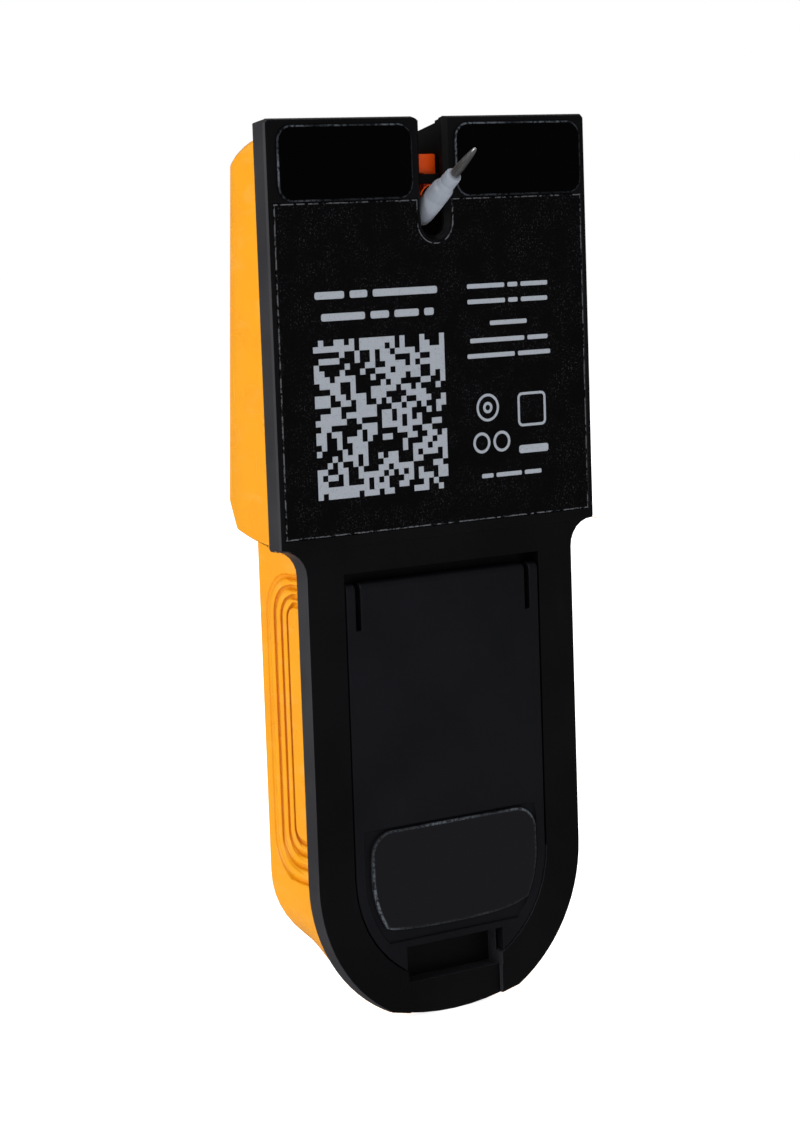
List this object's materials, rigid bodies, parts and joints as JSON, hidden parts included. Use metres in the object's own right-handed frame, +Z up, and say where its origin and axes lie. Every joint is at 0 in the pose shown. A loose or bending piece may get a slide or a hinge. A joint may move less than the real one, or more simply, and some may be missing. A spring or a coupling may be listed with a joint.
{
  "type": "stud finder",
  "caption": "Handheld wall scanner with glide pads, a hinged battery door, a display, a scan button and a retractable marker that comes out through a notch in the head.",
  "frame": {"origin": "under the middle of the overall box, at its lowest point, with the tool standing on the end of its handle", "axes": "+Z up along the tool towards the notched head, -Y out of the face that slides on the wall, +Y out of the display face, +X to the right seen from the wall side"},
  "size_m": [0.08, 0.0434, 0.1877],
  "materials": {
    "yellow_housing": "smooth, glossy moulded housing",
    "black_frame": "satin moulded plastic, faceted edge",
    "label_film": null,
    "glide_pad": "smooth low-friction film",
    "door_plastic": "finely textured",
    "door_pad_rubber": "smooth, with a paler worn edge",
    "grey_foam": "open-cell foam",
    "marker_needle": "drawn needle point",
    "marker_nose_white": "semi-gloss",
    "marker_barrel_grey": "moulded",
    "orange_plastic": "semi-gloss",
    "inner_black": "moulded",
    "clear_window": "clear window",
    "lcd_screen": "liquid crystal panel",
    "backlight_white": "diffuser",
    "light_pipe": "tinted, clear",
    "led_body": "moulded lamp",
    "dark_control": "ribbed",
    "button_rubber": "satin",
    "switch_body": "moulded",
    "board_green": "solder resist",
    "chip_black": "moulded",
    "copper_plate": "bare copper",
    "battery_case": "printed can",
    "bright_steel": "plated",
    "red_wire": "insulation"
  },
  "bodies": {
    "housing": {"front_shell": "yellow_housing", "rear_shell": "black_frame", "rear_label": "label_film", "glide_pad_left": "glide_pad", "glide_pad_right": "glide_pad", "marker_ramp": "inner_black", "display_bezel": "inner_black", "display_window": "clear_window", "lcd_panel": "lcd_screen", "lcd_backlight": "backlight_white", "light_pipe_left": "light_pipe", "light_pipe_centre": "light_pipe", "light_pipe_right": "light_pipe", "indicator_led_left": "led_body", "indicator_led_centre": "led_body", "indicator_led_right": "led_body", "mode_switch": "switch_body", "scan_switch": "switch_body", "main_board": "board_green", "controller_chip": "chip_black", "signal_chip": "chip_black", "sensor_board": "board_green", "sensor_plate_left": "copper_plate", "sensor_plate_centre": "copper_plate", "sensor_plate_right": "copper_plate", "board_link": "inner_black", "buzzer": "inner_black", "battery": "battery_case", "battery_terminal_positive": "bright_steel", "battery_terminal_negative": "bright_steel", "battery_snap": "inner_black", "battery_tray": "inner_black", "lead_positive": "red_wire", "lead_negative": "inner_black", "case_screw_top_left": "bright_steel", "case_screw_top_right": "bright_steel", "case_screw_low_left": "bright_steel", "case_screw_low_right": "bright_steel"},
    "battery_door": {"battery_door": "door_plastic", "door_pad": "door_pad_rubber", "door_foam": "grey_foam"},
    "marker": {"marker_carriage": "orange_plastic", "marker_nose": "marker_nose_white", "marker_nib": "marker_needle", "marker_barrel": "marker_barrel_grey"},
    "marker_slider": {"marker_slider": "orange_plastic"},
    "mode_selector": {"mode_selector": "dark_control"},
    "scan_button": {"scan_button": "button_rubber"}
  },
  "joints": [
    {"name": "battery_door_hinge", "type": "hinge", "parent": "housing", "child": "battery_door", "pos_m": [0, -0.00489, 0.092], "axis": [-1, 0, 0], "range_deg": [0, 110]},
    {"name": "marker_slider_slide", "type": "slide", "parent": "housing", "child": "marker_slider", "axis": [0, 0, -1], "range_m": [0, 0.0096]},
    {"name": "marker_slide", "type": "slide", "parent": "housing", "child": "marker", "axis": [0, 0.84, -0.5426], "range_m": [0, 0.01769]},
    {"name": "mode_selector_slide", "type": "slide", "parent": "housing", "child": "mode_selector", "axis": [1, 0, 0], "range_m": [0, 0.012]},
    {"name": "scan_button_press", "type": "slide", "parent": "housing", "child": "scan_button", "axis": [0, -1, 0], "range_m": [0, 0.0008], "stiffness_N_per_m": 600}
  ],
  "couplings": [
    {"joint": "marker_slide", "follows": "marker_slider_slide", "ratio": 1.843}
  ]
}
